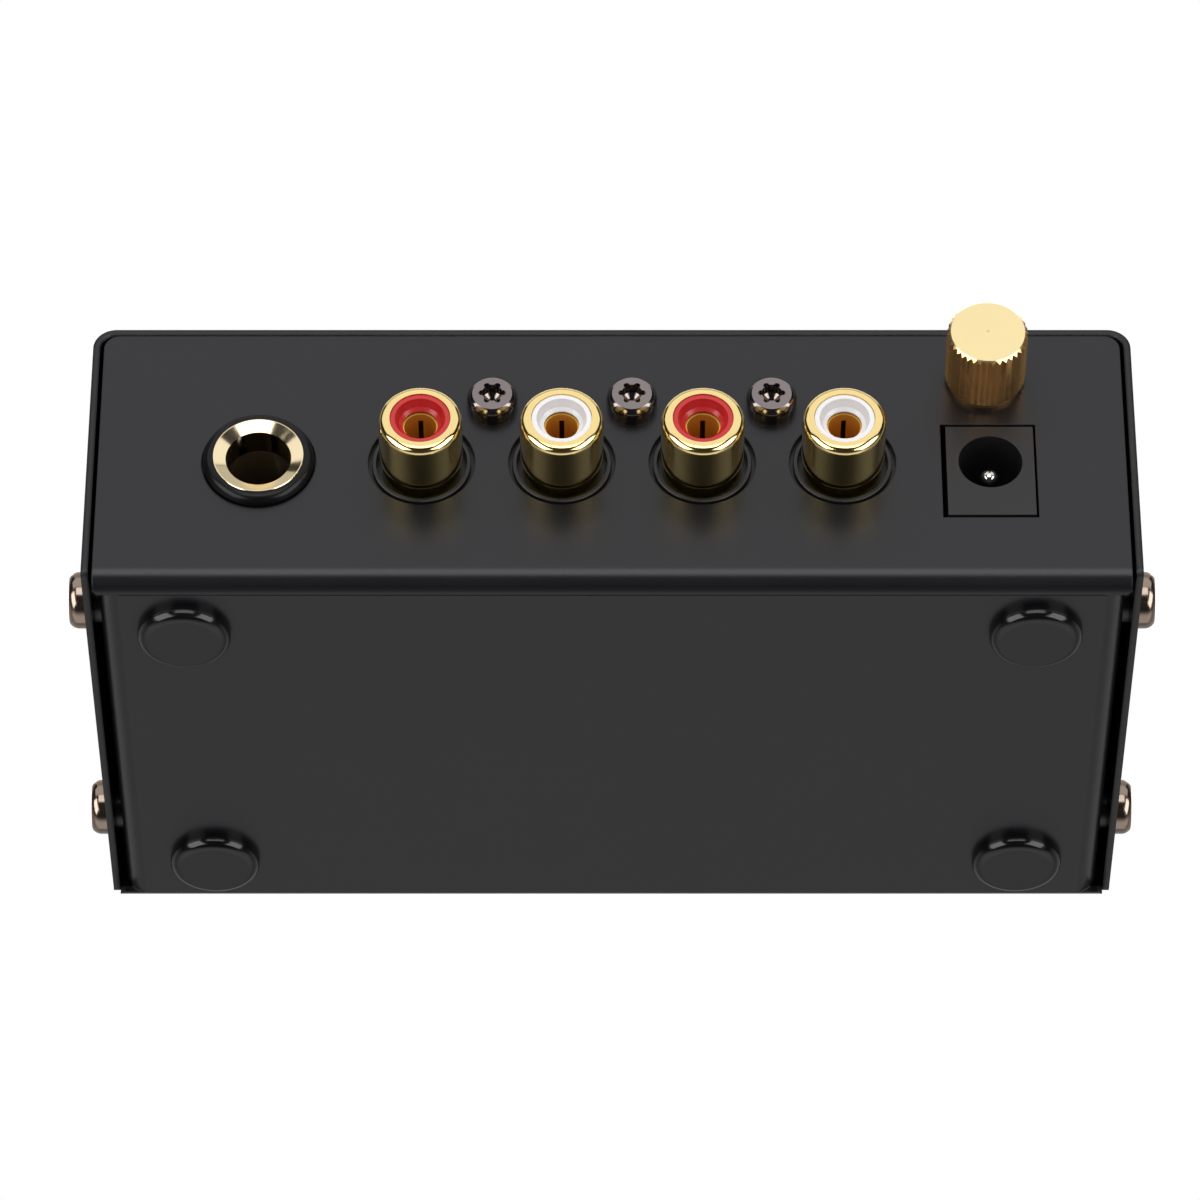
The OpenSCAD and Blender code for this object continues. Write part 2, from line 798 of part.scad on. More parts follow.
// Closed thumb nut with straight teeth and a chamfer at both ends.
module ground_nut() {
    r = ground_nut_dia / 2;
    blind = 6.4;
    tooth_h = 0.28;
    teeth = 38;
    chamfer = 0.35;
    dimple = 0.08;
    color("gold") at_rear(ground_x, ground_z) translate([0, 0, washer_t]) difference() {
        toothed_bar(r, tooth_h, teeth, ground_nut_l, chamfer, chamfer);
        translate([0, 0, -1]) cylinder(r = stud_r + 0.05, h = blind + 1);
        translate([0, 0, ground_nut_l - dimple]) cylinder(r = 2 * dimple, h = 1, $fn = 24);
    }
}

// ---- Level and volume controls -------------------------------------------------------------

// Potentiometer body with its threaded bushing.
module pot(x) {
    color("slategray") difference() {
        union() {
            in_case() box_at([x - pot_size.x / 2, front_in, board_top], pot_size);
            at_front(x, axis_z) translate([0, 0, -tray_t - 1]) {
                cylinder(r = bushing_r, h = tray_t + 1 + bushing_out);
            }
            for (dx = pot_leg_dx) {
                leg(x + dx, front_in + pot_leg_y, 1);
            }
        }
        at_front(x, axis_z) translate([0, 0, -tray_t - 5.5]) {
            cylinder(r = shaft_r + 0.05, h = 20);
            cylinder(r = wiper_r + 0.4, h = 3.5);
        }
    }
}

// Shaft with a flat for the knob and the wiper disc inside the body.
module pot_shaft(x) {
    color("silver") at_front(x, axis_z) difference() {
        union() {
            translate([0, 0, -shaft_back]) cylinder(r = wiper_r, h = 2.4);
            translate([0, 0, -shaft_back]) cylinder(r = shaft_r, h = shaft_back + shaft_out);
        }
        translate([-4, shaft_flat, bushing_out + 0.2]) cube([8, 4, 10]);
    }
}

// Fluted knob with a rounded cap, hollow at the back over the bushing nut.
module knob(x) {
    r = knob_dia / 2;
    length = knob_reach - knob_gap;
    cap_l = 1.2;
    flute_h = 0.3;
    flutes = 36;
    skirt = [6.1, 3.6];
    socket = [1, 7];
    color("black") at_front(x, axis_z) translate([0, 0, knob_gap]) difference() {
        union() {
            toothed_bar(r, flute_h, flutes, length - cap_l, 0.5);
            rotate_extrude() lip_profile(r - 0.6, length, 0.6);
        }
        translate([0, 0, -1]) cylinder(r = skirt[0], h = skirt[1] + 1);
        intersection() {
            translate([0, 0, socket[0]]) cylinder(r = shaft_r, h = socket[1]);
            translate([-4, shaft_flat - 8, socket[0]]) cube([8, 8, socket[1]]);
        }
        translate([-line_w / 2, line_start, length - line_depth]) cube([line_w, r, 1]);
        translate([-line_w / 2, r - line_side, length - line_l]) cube([line_w, 2, line_l + 1]);
    }
}

// Inlaid pointer line across the knob's face and down its side.
module pointer(x) {
    r = knob_dia / 2;
    length = knob_reach - knob_gap;
    color("white") at_front(x, axis_z) translate([0, 0, knob_gap]) {
        translate([-line_w / 2, line_start, length - line_depth]) cube([line_w, r - 2.2, line_depth]);
        translate([-line_w / 2, r - line_side, length - line_l]) cube([line_w, line_side / 2, line_l - 0.1]);
    }
}

module level_pot() pot(level_x);
module volume_pot() pot(volume_x);
module level_shaft() pot_shaft(level_x);
module volume_shaft() pot_shaft(volume_x);
module level_knob() knob(level_x);
module volume_knob() knob(volume_x);
module level_pointer() pointer(level_x);
module volume_pointer() pointer(volume_x);

module pot_washers() {
    color("silver") {
        for (x = [level_x, volume_x]) {
            at_front(x, axis_z) difference() {
                cylinder(r = 5.2, h = pot_washer_t);
                translate([0, 0, -1]) cylinder(r = bushing_r + 0.03, h = 3);
            }
        }
    }
}

module pot_nuts() {
    color("silver") {
        for (x = [level_x, volume_x]) {
            at_front(x, axis_z) translate([0, 0, pot_washer_t]) difference() {
                cylinder(r = 5.4, h = 2, $fn = 6);
                translate([0, 0, -1]) cylinder(r = bushing_r + 0.03, h = 4);
            }
        }
    }
}

// ---- Power switch and lamp -----------------------------------------------------------------

module switch_body() {
    body = [8.4, 12.4, 10.6];
    slack = 0.3;
    color("dimgray") difference() {
        union() {
            in_case() box_at([button_x - body.x / 2, switch_y, board_top], body);
            for (dx = switch_leg_dx, dy = switch_leg_dy) {
                leg(button_x + dx, front_in + dy, 1);
            }
        }
        in_case() box_at([button_x - post_w / 2 - slack, post_y, axis_z - post_w / 2 - slack],
                         [post_w + 2 * slack, post_l + button_travel + 1, post_w + 2 * slack]);
    }
}

module switch_plunger() {
    color("white") in_case() {
        box_at([button_x - post_w / 2, post_y, axis_z - post_w / 2], [post_w, post_l, post_w]);
    }
}

// Round button with a rounded face and a square socket for the plunger.
module power_button() {
    inside_l = 3.5;
    socket_l = inside_l - (post_y - front_y);
    color("black") at_front(button_x, axis_z) translate([0, 0, -inside_l]) difference() {
        rotate_extrude() lip_profile(button_r, button_reach + inside_l, 0.6);
        translate([-post_w / 2, -post_w / 2, -1]) cube([post_w, post_w, socket_l + 1]);
    }
}

module led() {
    dome_z = 0.2;
    color("deepskyblue") {
        at_front(led_x, axis_z) {
            translate([0, 0, -led_back]) cylinder(r = led_r, h = led_back + dome_z);
            translate([0, 0, dome_z]) intersection() {
                sphere(led_r);
                translate([0, 0, 1]) cube([4, 4, 2], center = true);
            }
            translate([0, 0, -led_back]) cylinder(r = led_flange_r, h = 1);
        }
        for (dx = led_leg_dx) {
            in_case() box_at([led_x + dx - led_leg_w / 2, front_y + led_back - 0.1, axis_z - led_leg_w / 2],
                             [led_leg_w, tray_t + 0.55, led_leg_w]);
            in_case() box_at([led_x + dx - led_leg_w / 2, front_in + led_back - 0.05, board_top - leg_below],
                             [led_leg_w, led_leg_w, leg_below + axis_z - board_top + led_leg_w / 2]);
        }
    }
}

module led_holder() {
    block = [5.2, 2.9, 8.9];
    room = [3.6, 1.7, 7.9];
    color("black") in_case() difference() {
        box_at([led_x - block.x / 2, front_in + 2.2, board_top], block);
        translate([led_x, front_y + led_back + 0.1, axis_z]) rotate([90, 0, 0]) {
            cylinder(r = led_flange_r + 0.05, h = 4);
        }
        box_at([led_x - room.x / 2, front_in + 3, board_top - 1], room);
    }
}

// ---- Parts on the board --------------------------------------------------------------------

// Eight-legged amplifier chips, each with a notch at one end.
module op_amps() {
    chip = [6.4, 9.6, 3.3];
    gap = 0.5;
    chip_y = -5;
    pin_pitch = 2.54;
    color("black") {
        for (x = [-16, -2, 12]) {
            in_case() difference() {
                box_at([x - chip.x / 2, chip_y, board_top + gap], chip);
                translate([x, chip_y, board_top + gap + chip.z - 0.8]) cylinder(r = 0.9, h = 2);
            }
            for (side = [-1, 1], i = [0 : 3]) {
                pin_x = x + side * (chip.x / 2 + 0.2) - 0.25;
                in_case() box_at([pin_x, chip_y + 0.7 + i * pin_pitch, board_top], [0.5, 0.6, gap + 1.8]);
            }
        }
    }
}

// Aluminium cans with a rolled groove above the base.
module electrolytic_capacitors() {
    places = [
        [-26, 3, 3.15, 11], [-26, -6, 3.15, 11], [-9, 9, 2.5, 11], [-9, -8, 2.5, 11],
        [5, 9, 2.5, 11], [5, -8, 2.5, 11], [20, 9, 2.5, 11], [21, -5, 4, 12.5]
    ];
    color("midnightblue") {
        for (p = places) {
            in_case() translate([p[0], p[1], board_top]) rotate_extrude() difference() {
                lip_profile(p[2], p[3], 0.3);
                translate([p[2] + 0.25, 1.6]) circle(0.5);
            }
        }
    }
}

module film_capacitors() {
    box = [3.6, 3, 6.5];
    color("firebrick") {
        for (x = [-16, -2, 12], y = [7.5, -13]) {
            in_case() box_at([x - box.x, y, board_top], box);
        }
    }
}

// Axial resistors lying on the board, with bent leads.
module resistors() {
    body_r = 1.1;
    body_l = 5.6;
    rise = 1.3;
    lead_r = 0.3;
    lead_x = body_l / 2 + 1.2;
    color("tan") {
        for (x = [-31, -21.3, -9, 5, 25.5], y = [-15.5, 2]) {
            in_case() translate([x, y, board_top + rise]) rotate([90, 0, 0]) {
                cylinder(r = body_r, h = body_l, center = true);
                cylinder(r = lead_r, h = 2 * (lead_x + lead_r), center = true, $fn = 24);
            }
            for (side = [-1, 1]) {
                in_case() translate([x, y + side * lead_x, board_top]) {
                    cylinder(r = lead_r, h = rise, $fn = 24);
                }
            }
        }
    }
}

// Small three-legged regulator with a flat face.
module voltage_regulator() {
    place = [-36, 1];
    rise = 2;
    leg_t = 0.4;
    color("black") {
        in_case() translate([place.x, place.y, board_top + rise]) difference() {
            cylinder(r = 2.4, h = 4.6);
            translate([-3, -4, -1]) cube([6, 2.6, 7]);
        }
        for (dx = [-1.27, 0, 1.27]) {
            in_case() box_at([place.x + dx - leg_t / 2, place.y - leg_t / 2, board_top],
                             [leg_t, leg_t, rise + 0.2]);
        }
    }
}

module diode() {
    place = [-43, 4];
    rise = 1.5;
    lead_r = 0.4;
    lead_x = 3.8;
    color("black") {
        in_case() translate([place.x, place.y, board_top + rise]) rotate([90, 0, 0]) {
            cylinder(r = 1.35, h = 5, center = true);
            cylinder(r = lead_r, h = 2 * (lead_x + lead_r), center = true, $fn = 24);
        }
        for (side = [-1, 1]) {
            in_case() translate([place.x, place.y + side * lead_x, board_top]) {
                cylinder(r = lead_r, h = rise, $fn = 24);
            }
        }
    }
}

// ---- Nodes ---------------------------------------------------------------------------------

chassis();
cover();
cover_screws();
foot_rear_left();
foot_rear_right();
foot_front_left();
foot_front_right();
main_board();
board_standoffs();
board_screws();
rca_block();
rca_screws();
input_left_shell();
input_right_shell();
output_left_shell();
output_right_shell();
input_left_insulator();
input_right_insulator();
output_left_insulator();
output_right_insulator();
input_left_contact();
input_right_contact();
output_left_contact();
output_right_contact();
trs_housing();
trs_ring();
trs_springs();
dc_housing();
dc_pin();
dc_spring();
ground_stud();
ground_lug();
ground_inner_nut();
ground_wire();
ground_washer();
ground_nut();
level_pot();
level_shaft();
level_knob();
level_pointer();
volume_pot();
volume_shaft();
volume_knob();
volume_pointer();
pot_washers();
pot_nuts();
switch_body();
switch_plunger();
power_button();
led();
led_holder();
op_amps();
electrolytic_capacitors();
film_capacitors();
resistors();
voltage_regulator();
diode();
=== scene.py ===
"""Looks of a small phono preamplifier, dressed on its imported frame.

In the row frame X points right as one faces the control panel, Y points to the connector panel
and Z up. Lengths are in metres, apart from names that end in _mm or _MM and the places below.
"""
import json
import math

import bmesh
import bpy
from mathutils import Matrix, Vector


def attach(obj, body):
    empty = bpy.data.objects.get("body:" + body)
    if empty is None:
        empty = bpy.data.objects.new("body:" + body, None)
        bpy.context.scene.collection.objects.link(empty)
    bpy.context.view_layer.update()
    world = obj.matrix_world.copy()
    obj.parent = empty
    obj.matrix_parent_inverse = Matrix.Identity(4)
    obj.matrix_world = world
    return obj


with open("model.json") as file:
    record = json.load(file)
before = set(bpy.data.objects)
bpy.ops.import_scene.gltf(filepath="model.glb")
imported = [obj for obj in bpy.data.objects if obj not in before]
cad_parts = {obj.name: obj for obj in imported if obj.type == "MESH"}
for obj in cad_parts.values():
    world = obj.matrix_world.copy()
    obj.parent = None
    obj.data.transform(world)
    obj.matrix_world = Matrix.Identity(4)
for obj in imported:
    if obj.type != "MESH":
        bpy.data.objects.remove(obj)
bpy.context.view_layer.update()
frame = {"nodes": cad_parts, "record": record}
NODES = frame["nodes"]
MM = 0.001

# Places that follow part.scad, in millimetres of the row frame.
REAR_Y = 29.45                  # outer face of the connector panel
FRONT_Y = -27.15                # outer face of the control panel
JACK_Z = 16.65                  # axes of the sockets, the jack and the knobs
RCA_X = -23.0                   # first of the four phono sockets
RCA_PITCH = 14.0
RCA_RIM_Y = REAR_Y + 7.2
RCA_ROOM_Y = RCA_RIM_Y - 1.35   # just inside the mouth of a socket's insulator
RCA_GROOVE_Y = REAR_Y + 1.16    # upper edge of the groove round a socket's foot
TRS_X = 35.25
TRS_BORE_Y = REAR_Y + 1.0       # just inside the jack's mouth
GROUND_X = -37.5
GROUND_Z = 27.1
NUT_FACE_Y = REAR_Y + 7.6       # just short of the thumb nut's outer face
LEVEL_X = 4.0
VOLUME_X = 32.0


# ---- Camera: the photo's long-lens view from below the connector panel ---------------------------

SENSOR_MM = 36
LENS_MM = 198.62
CLIP_START = 0.05
CLIP_END = 20
AIM_MM = (1.199, 1.58, 19.96)
BELOW_DEG = 36.155
CAMERA_DISTANCE = 0.6848


def make_camera():
    data = bpy.data.cameras.new("camera")
    data.sensor_width = SENSOR_MM
    data.lens = LENS_MM
    data.clip_start = CLIP_START
    data.clip_end = CLIP_END
    camera = bpy.data.objects.new("camera", data)
    bpy.context.scene.collection.objects.link(camera)
    below = math.radians(BELOW_DEG)
    away = Vector((0.0, math.cos(below), -math.sin(below)))
    camera.location = Vector(AIM_MM) * MM + away * CAMERA_DISTANCE
    camera.rotation_euler = (-away).to_track_quat("-Z", "Y").to_euler()
    bpy.context.scene.camera = camera


make_camera()
bpy.context.scene.view_settings.view_transform = "Standard"


# ---- Node trees ----------------------------------------------------------------------------------

class Tree:
    """Short hand for building one node tree."""

    def __init__(self, tree):
        self.tree = tree
        tree.nodes.clear()

    def add(self, kind, **settings):
        node = self.tree.nodes.new(kind)
        for key, value in settings.items():
            setattr(node, key, value)
        return node

    def link(self, out, into):
        self.tree.links.new(out, into)

    def math(self, operation, a, b=None):
        """One math node. a is a socket, b a socket, a number or nothing."""
        node = self.add("ShaderNodeMath", operation=operation)
        self.link(a, node.inputs[0])
        if isinstance(b, (int, float)):
            node.inputs[1].default_value = b
        elif b is not None:
            self.link(b, node.inputs[1])
        return node.outputs[0]

    def remap(self, value, lo, hi, to_lo, to_hi, smooth=False):
        """lo to hi becomes to_lo to to_hi, and holds its end values outside."""
        node = self.add("ShaderNodeMapRange")
        if smooth:
            node.interpolation_type = "SMOOTHSTEP"
        self.link(value, node.inputs["Value"])
        names = ("From Min", "From Max", "To Min", "To Max")
        for name, number in zip(names, (lo, hi, to_lo, to_hi)):
            node.inputs[name].default_value = number
        return node.outputs["Result"]

    def mix_color(self, factor, a, b):
        """From a to b by factor. Each is a colour or a socket."""
        node = self.add("ShaderNodeMix", data_type="RGBA")
        self.link(factor, node.inputs["Factor"])
        for name, value in (("A", a), ("B", b)):
            socket = [s for s in node.inputs if s.name == name and s.type == "RGBA"][0]
            if isinstance(value, tuple):
                socket.default_value = (*value, 1.0)
            else:
                self.link(value, socket)
        return [s for s in node.outputs if s.type == "RGBA"][0]

    def noise(self, coords, scale, detail=2.0, rough=0.5):
        node = self.add("ShaderNodeTexNoise")
        self.link(coords, node.inputs["Vector"])
        node.inputs["Scale"].default_value = scale
        node.inputs["Detail"].default_value = detail
        node.inputs["Roughness"].default_value = rough
        return node.outputs["Fac"]


# ---- Zones: rings of a surface in another colour, mostly painted shade and reflection ------------

ZONE_SOFT = 0.05        # half the width of a zone's edge
CELLS_AHEAD = 10        # whole pitches added, so that no cell number is negative
FROM_AXIS = -1.0        # an inner radius that shuts nothing out


def zone_mask(t, coords, centre, inner, outer, behind_y, pitch=0.0):
    """1 between two radii around an axis along Y and behind one Y, in millimetres, else 0.

    With a pitch, the axis repeats along X.
    """
    place = t.add("ShaderNodeSeparateXYZ")
    t.link(coords, place.inputs[0])
    across = t.math("SUBTRACT", place.outputs["X"], centre[0] * MM)
    if pitch:
        cell = t.math("ADD", t.math("DIVIDE", across, pitch * MM), 0.5 + CELLS_AHEAD)
        across = t.math("SUBTRACT", t.math("FRACT", cell), 0.5)
        across = t.math("MULTIPLY", across, pitch * MM)
    up = t.math("SUBTRACT", place.outputs["Z"], centre[1] * MM)
    squares = t.math("ADD", t.math("MULTIPLY", across, across), t.math("MULTIPLY", up, up))
    radius = t.math("SQRT", squares)

    def step(value, at, before, after):
        edge = ((at - ZONE_SOFT) * MM, (at + ZONE_SOFT) * MM)
        return t.remap(value, *edge, before, after, smooth=True)

    ring = t.math("MULTIPLY", step(radius, inner, 0, 1), step(radius, outer, 1, 0))
    return t.math("MULTIPLY", ring, step(place.outputs["Y"], behind_y, 1, 0))


# ---- Finishes ------------------------------------------------------------------------------------

IOR = 1.5
COAT_ROUGHNESS = 0.1
SUBSURFACE_SCALE = 0.0008
PATCH_MM = 9.0
PATCH_SHARE = 0.65      # of the drift in colour and roughness; the fine grain has the rest
DRIFT = (0.3, 0.7)      # the noise's usual span, spread over the whole drift
WAVE_RIDGE = 0.16       # width of one ridge of a wave texture of scale 1
WAVE_DISTORTION = 0.4
BEVEL_SAMPLES = 4


def turned_rings(t, coords, grain, centre, ridge_mm, share):
    """The relief of turned rings around an axis along Y, with some of the grain in it."""
    mapping = t.add("ShaderNodeMapping")
    mapping.inputs["Location"].default_value = tuple(-c * MM for c in centre)
    t.link(coords, mapping.inputs["Vector"])
    wave = t.add("ShaderNodeTexWave", wave_type="RINGS", rings_direction="Y", wave_profile="SIN")
    t.link(mapping.outputs["Vector"], wave.inputs["Vector"])
    wave.inputs["Scale"].default_value = 1.0 / (ridge_mm * MM) * WAVE_RIDGE
    wave.inputs["Distortion"].default_value = WAVE_DISTORTION
    rings = t.math("MULTIPLY", wave.outputs["Fac"], share)
    return t.math("ADD", rings, t.math("MULTIPLY", grain, 1 - share))


def finish_material(name, base, vary, rough, rough_vary, metallic=0.0, specular=0.5, coat=0.0,
                    subsurface=0.0, transmission=0.0, emission=None, grain_mm=0.25, bump=0.1,
                    grain_depth_mm=0.004, rings=None, zone=None, zone_colour=None, bevel_mm=0.0):
    """A surface whose colour and roughness drift in patches, with a fine grain in its relief."""
    material = bpy.data.materials.new(name)
    material.use_nodes = True
    t = Tree(material.node_tree)
    out = t.add("ShaderNodeOutputMaterial")
    shader = t.add("ShaderNodeBsdfPrincipled")
    t.link(shader.outputs[0], out.inputs["Surface"])
    coords = t.add("ShaderNodeTexCoord").outputs["Object"]
    patch = t.noise(coords, 1.0 / (PATCH_MM * MM), detail=3.0, rough=0.55)
    grain = t.noise(coords, 1.0 / (grain_mm * MM), detail=2.0, rough=0.6)

    drift = t.math("ADD", t.math("MULTIPLY", patch, PATCH_SHARE),
                   t.math("MULTIPLY", grain, 1 - PATCH_SHARE))
    dark = tuple(max(c * (1 - vary), 0.0) for c in base)
    light = tuple(min(c * (1 + vary), 1.0) for c in base)
    colour = t.mix_color(t.remap(drift, *DRIFT, 0, 1), dark, light)
    if zone:
        colour = t.mix_color(zone_mask(t, coords, **zone), colour, zone_colour)
    t.link(colour, shader.inputs["Base Color"])
    roughness = t.remap(drift, *DRIFT, rough - rough_vary, rough + rough_vary)
    t.link(roughness, shader.inputs["Roughness"])
    shader.inputs["Metallic"].default_value = metallic
    shader.inputs["Specular IOR Level"].default_value = specular
    shader.inputs["IOR"].default_value = IOR
    shader.inputs["Coat Weight"].default_value = coat
    shader.inputs["Coat Roughness"].default_value = COAT_ROUGHNESS
    shader.inputs["Transmission Weight"].default_value = transmission
    shader.inputs["Subsurface Weight"].default_value = subsurface
    shader.inputs["Subsurface Scale"].default_value = SUBSURFACE_SCALE
    if emission:
        glow, strength = emission
        shader.inputs["Emission Color"].default_value = (*glow, 1.0)
        shader.inputs["Emission Strength"].default_value = strength

    relief = t.add("ShaderNodeBump")
    relief.inputs["Strength"].default_value = bump
    relief.inputs["Distance"].default_value = grain_depth_mm * MM
    height = turned_rings(t, coords, grain, **rings) if rings else grain
    t.link(height, relief.inputs["Height"])
    if bevel_mm:
        edge = t.add("ShaderNodeBevel", samples=BEVEL_SAMPLES)
        edge.inputs["Radius"].default_value = bevel_mm * MM
        t.link(edge.outputs["Normal"], relief.inputs["Normal"])
    t.link(relief.outputs["Normal"], shader.inputs["Normal"])
    return material


M = {}


def define(name, *args, **kwargs):
    M[name] = finish_material(name, *args, **kwargs)


def socket_zone(inner, outer, behind_y):
    """The same ring in each of the four phono sockets."""
    return dict(centre=(RCA_X, JACK_Z), inner=inner, outer=outer, behind_y=behind_y,
                pitch=RCA_PITCH)


# Settings that several finishes share.
PAINTED = dict(grain_mm=0.22, bump=0.30, grain_depth_mm=0.006)
GLOSSY = dict(grain_mm=0.10, bump=0.04)
POLISHED = dict(metallic=1.0, grain_mm=0.10, bump=0.05, grain_depth_mm=0.002)
SCREW = dict(metallic=1.0, grain_mm=0.12, bump=0.1)

# Each starts with its name, base colour, the colour's drift, roughness and the roughness's drift.
define("powder_coat", (0.0050, 0.0051, 0.0070), 0.08, 0.30, 0.012, bevel_mm=0.20, **PAINTED)
define("cover_coat", (0.0052, 0.0053, 0.0064), 0.08, 0.26, 0.010, bevel_mm=0.65, **PAINTED)
define("foot_rubber", (0.0045, 0.0045, 0.0050), 0.15, 0.14, 0.03, specular=0.45, grain_mm=0.12,
       bump=0.10, grain_depth_mm=0.002)

# Gilt parts. Zones: painted shade in the groove round each socket, painted reflection deepening the
# knurl's gold.
define("bright_gold", (1.0, 0.76, 0.33), 0.03, 0.12, 0.03, **POLISHED,
       zone=socket_zone(3.4, 3.86, RCA_GROOVE_Y), zone_colour=(0.06, 0.035, 0.015))
define("turned_gold", (1.0, 0.80, 0.42), 0.03, 0.20, 0.04, metallic=0.92, grain_mm=0.10,
       bump=0.12, grain_depth_mm=0.003,
       rings=dict(centre=(GROUND_X, REAR_Y, GROUND_Z), ridge_mm=0.22, share=0.7),
       zone=dict(centre=(GROUND_X, GROUND_Z), inner=3.72, outer=6.0, behind_y=NUT_FACE_Y),
       zone_colour=(1.0, 0.60, 0.24))
define("pale_gold", (1.0, 0.82, 0.52), 0.03, 0.12, 0.03, **POLISHED)

# Bare metals.
define("contact_brass", (0.85, 0.44, 0.06), 0.06, 0.40, 0.05, metallic=0.55, grain_mm=0.1,
       bump=0.1)
# The washer under the thumb nut is a darker copy of the gold: painted shade.
define("shaded_brass", (0.60, 0.34, 0.13), 0.06, 0.34, 0.05, metallic=1.0, grain_mm=0.1, bump=0.1)
define("dark_nickel", (0.26, 0.225, 0.215), 0.08, 0.15, 0.03, **SCREW)
define("bronzed_nickel", (0.33, 0.255, 0.205), 0.08, 0.17, 0.05, **SCREW)
define("plain_nickel", (0.60, 0.57, 0.53), 0.05, 0.24, 0.05, metallic=1.0, grain_mm=0.15,
       bump=0.1)
define("bright_nickel", (0.72, 0.70, 0.67), 0.03, 0.12, 0.03, metallic=1.0, grain_mm=0.1,
       bump=0.05)
define("pressed_steel", (0.42, 0.42, 0.43), 0.07, 0.34, 0.05, metallic=1.0, grain_mm=0.2,
       bump=0.15)

# Plastics of the connectors. The zones are painted shade inside the sockets' insulators, and the
# brown of the metal sleeve in the jack's bore.
PAINTED_SHADE_IN_SOCKETS = socket_zone(FROM_AXIS, 2.62, RCA_ROOM_Y)
IN_JACK = dict(centre=(TRS_X, JACK_Z), inner=FROM_AXIS, outer=3.42, behind_y=TRS_BORE_Y)
define("white_plastic", (0.78, 0.76, 0.75), 0.015, 0.24, 0.03, subsurface=0.15, **GLOSSY,
       zone=PAINTED_SHADE_IN_SOCKETS, zone_colour=(0.03, 0.015, 0.008))
define("red_plastic", (0.50, 0.016, 0.017), 0.04, 0.22, 0.03, subsurface=0.10, **GLOSSY,
       zone=PAINTED_SHADE_IN_SOCKETS, zone_colour=(0.03, 0.010, 0.006))
define("black_plastic", (0.0095, 0.0095, 0.0100), 0.12, 0.42, 0.04, grain_mm=0.10, bump=0.20,
       grain_depth_mm=0.004)
define("nose_plastic", (0.0050, 0.0050, 0.0055), 0.12, 0.26, 0.03, specular=0.20, grain_mm=0.10,
       bump=0.12, grain_depth_mm=0.003, zone=IN_JACK, zone_colour=(0.045, 0.032, 0.020))

# The control panel.
define("anodised_black", (0.0130, 0.0130, 0.0140), 0.10, 0.33, 0.04, metallic=0.2, grain_mm=0.08,
       bump=0.12, grain_depth_mm=0.003)
define("button_plastic", (0.0120, 0.0120, 0.0125), 0.10, 0.36, 0.04, grain_mm=0.10, bump=0.18,
       grain_depth_mm=0.004)
define("pointer_paint", (0.78, 0.78, 0.78), 0.02, 0.40, 0.03, grain_mm=0.1, bump=0.05)
define("tinted_epoxy", (0.22, 0.42, 0.90), 0.02, 0.10, 0.02, transmission=0.5,
       emission=((0.08, 0.25, 1.0), 0.15), grain_mm=0.2, bump=0.02)

# The circuit board and what it carries.
define("green_mask", (0.010, 0.110, 0.045), 0.15, 0.30, 0.05, coat=0.4, grain_mm=0.3, bump=0.2)
define("green_wire", (0.030, 0.260, 0.070), 0.06, 0.38, 0.04, grain_mm=0.2, bump=0.08)
define("switch_case", (0.045, 0.045, 0.050), 0.10, 0.40, 0.04, grain_mm=0.15, bump=0.12)
define("chip_epoxy", (0.017, 0.017, 0.018), 0.12, 0.50, 0.05, grain_mm=0.08, bump=0.25)
define("can_sleeve", (0.012, 0.016, 0.075), 0.08, 0.25, 0.04, coat=0.3, grain_mm=0.2, bump=0.06)
define("film_case", (0.30, 0.030, 0.016), 0.06, 0.28, 0.04, grain_mm=0.2, bump=0.06)
define("resistor_lacquer", (0.42, 0.30, 0.16), 0.08, 0.33, 0.05, grain_mm=0.2, bump=0.08)

SLOT_FINISHES = {
    "tray_paint": "powder_coat", "cover_paint": "cover_coat", "bronzed_screw": "bronzed_nickel",
    "dark_screw": "dark_nickel", "foot_rubber": "foot_rubber", "board_green": "green_mask",
    "nickel": "plain_nickel", "bright_nickel": "bright_nickel", "gold_plate": "bright_gold",
    "brass_contact": "contact_brass", "white_plastic": "white_plastic",
    "red_plastic": "red_plastic", "black_plastic": "black_plastic", "wire_green": "green_wire",
    "knob_black": "anodised_black", "pointer_white": "pointer_paint",
    "pot_case": "pressed_steel", "switch_case": "switch_case", "button_black": "button_plastic",
    "led_blue": "tinted_epoxy", "chip_black": "chip_epoxy", "can_blue": "can_sleeve",
    "film_red": "film_case", "resistor_tan": "resistor_lacquer",
}
# Nodes that look different from the others in their slot.
NODE_FINISHES = {
    "ground_nut": "turned_gold", "ground_washer": "shaded_brass",
    "trs_housing": "nose_plastic", "trs_ring": "pale_gold",
}
for part in frame["record"]["subparts"]:
    material = M[NODE_FINISHES.get(part["node"], SLOT_FINISHES[part["material_slot"]])]
    materials = NODES[part["node"]].data.materials
    if len(materials) == 0:
        materials.append(material)
    for i in range(len(materials)):
        materials[i] = material


# ---- Bars on the control panel -------------------------------------------------------------------

def add_bar(bm, centre, along, length, width, low, high):
    """A bar between two heights of Y. centre and along are (X, Z)."""
    across = Vector((along.y, -along.x))
    corners = []
    for y in (low, high):
        for a, b in ((-1, -1), (1, -1), (1, 1), (-1, 1)):
            flat = along * (a * length / 2) + across * (b * width / 2)
            corners.append(bm.verts.new((centre.x + flat.x, y, centre.y + flat.y)))
    sides = ((0, 1, 2, 3), (7, 6, 5, 4), (0, 4, 5, 1), (1, 5, 6, 2), (2, 6, 7, 3), (3, 7, 4, 0))
    for side in sides:
        bm.faces.new([corners[i] for i in side])


def make_piece(name, bm, material):
    bmesh.ops.recalc_face_normals(bm, faces=bm.faces)
    mesh = bpy.data.meshes.new(name)
    bm.to_mesh(mesh)
    bm.free()
    mesh.materials.append(material)
    piece = bpy.data.objects.new(name, mesh)
    bpy.context.scene.collection.objects.link(piece)
    return piece


